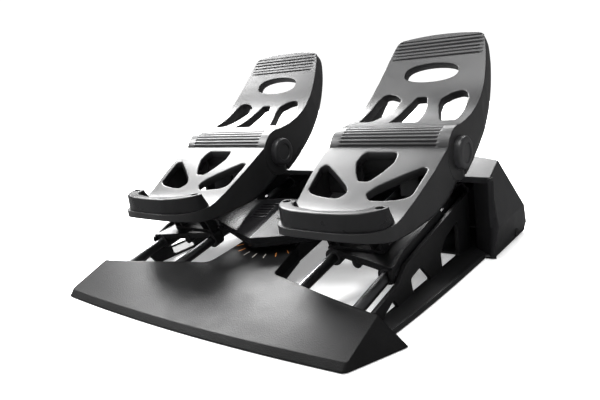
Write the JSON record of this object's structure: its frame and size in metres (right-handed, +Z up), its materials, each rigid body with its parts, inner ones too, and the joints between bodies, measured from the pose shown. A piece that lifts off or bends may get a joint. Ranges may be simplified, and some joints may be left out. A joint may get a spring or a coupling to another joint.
{
  "type": "flight simulator rudder pedals",
  "caption": "Desk-floor rudder pedals with a low heel board, two sliding S-curved pedals on rails, a centre rocker and a sloped rear housing.",
  "frame": {"origin": "centre of the bounding box's underside, on the floor between the pedals", "axes": "+X to the user's right across the base, +Y away from the user's heels towards the rear housing, +Z up"},
  "size_m": [0.43, 0.3749, 0.2378],
  "materials": {
    "board_plastic": "fine leather grain, satin",
    "pedal_plastic": "fine spark texture, satin",
    "stop_plastic": "fine spark texture, satin",
    "cap_plastic": "smooth satin",
    "housing_plastic": "fine spark texture, satin",
    "frame_plastic": "fine spark texture, satin",
    "carriage_plastic": "moulded, satin",
    "rocker_plastic": "moulded, satin",
    "rail_steel": "drawn tube, satin",
    "fastener_steel": "zinc plated",
    "bush_nylon": "natural acetal",
    "foot_rubber": "matt",
    "board_laminate": "solder mask",
    "sensor_plastic": "moulded"
  },
  "bodies": {
    "base": {"heel_board": "board_plastic", "centre_spine": "carriage_plastic", "spine_cover": "carriage_plastic", "circuit_board": "board_laminate", "rudder_sensor": "sensor_plastic", "pivot_post": "fastener_steel", "side_frame_l": "frame_plastic", "side_frame_r": "frame_plastic", "rear_housing": "housing_plastic", "rear_cover": "housing_plastic", "cable_gland": "foot_rubber", "rail_l_outer": "rail_steel", "rail_l_inner": "rail_steel", "rail_r_inner": "rail_steel", "rail_r_outer": "rail_steel", "foot_front_l": "foot_rubber", "foot_front_r": "foot_rubber", "foot_rear_l": "foot_rubber", "foot_rear_r": "foot_rubber", "rocker_nut": "fastener_steel"},
    "rocker": {"rocker_arm": "rocker_plastic", "rocker_hood": "rocker_plastic", "rocker_pin_l": "fastener_steel", "rocker_pin_r": "fastener_steel"},
    "slide_left": {"carriage_l": "carriage_plastic", "tower_l": "carriage_plastic", "bush_l_outer_front": "bush_nylon", "bush_l_outer_rear": "bush_nylon", "bush_l_inner_front": "bush_nylon", "bush_l_inner_rear": "bush_nylon", "heel_plate_l": "pedal_plastic", "heel_stop_l": "stop_plastic", "stop_screw_l_left": "fastener_steel", "stop_screw_l_right": "fastener_steel", "hinge_shaft_l": "fastener_steel", "brake_sensor_l": "sensor_plastic"},
    "slide_right": {"carriage_r": "carriage_plastic", "tower_r": "carriage_plastic", "bush_r_outer_front": "bush_nylon", "bush_r_outer_rear": "bush_nylon", "bush_r_inner_front": "bush_nylon", "bush_r_inner_rear": "bush_nylon", "heel_plate_r": "pedal_plastic", "heel_stop_r": "stop_plastic", "stop_screw_r_left": "fastener_steel", "stop_screw_r_right": "fastener_steel", "hinge_shaft_r": "fastener_steel", "brake_sensor_r": "sensor_plastic"},
    "toe_left": {"toe_plate_l": "pedal_plastic", "hinge_cap_l_left": "cap_plastic", "hinge_cap_l_right": "cap_plastic"},
    "toe_right": {"toe_plate_r": "pedal_plastic", "hinge_cap_r_left": "cap_plastic", "hinge_cap_r_right": "cap_plastic"}
  },
  "joints": [
    {"name": "right_slide", "type": "slide", "parent": "base", "child": "slide_right", "axis": [0, 0.9806, 0.1959], "range_m": [-0.0405, 0.0405], "stiffness_N_per_m": 300},
    {"name": "left_slide", "type": "slide", "parent": "base", "child": "slide_left", "axis": [0, 0.9806, 0.1959], "range_m": [-0.0406, 0.0406]},
    {"name": "rocker_turn", "type": "hinge", "parent": "base", "child": "rocker", "pos_m": [0, -0.02029, 0.05211], "axis": [0, -0.1959, 0.9806], "range_deg": [-25, 25]},
    {"name": "left_brake", "type": "hinge", "parent": "slide_left", "child": "toe_left", "pos_m": [-0.1175, 0.056, 0.121], "axis": [-1, 0, 0], "range_deg": [0, 12], "stiffness_Nm_per_rad": 1.2, "springref_deg": -20.05},
    {"name": "right_brake", "type": "hinge", "parent": "slide_right", "child": "toe_right", "pos_m": [0.1175, 0.056, 0.121], "axis": [-1, 0, 0], "range_deg": [0, 12], "stiffness_Nm_per_rad": 1.2, "springref_deg": -20.05}
  ],
  "couplings": [
    {"joint": "left_slide", "follows": "right_slide", "ratio": -1},
    {"joint": "rocker_turn", "follows": "right_slide", "rad_per_m": 10.753}
  ]
}
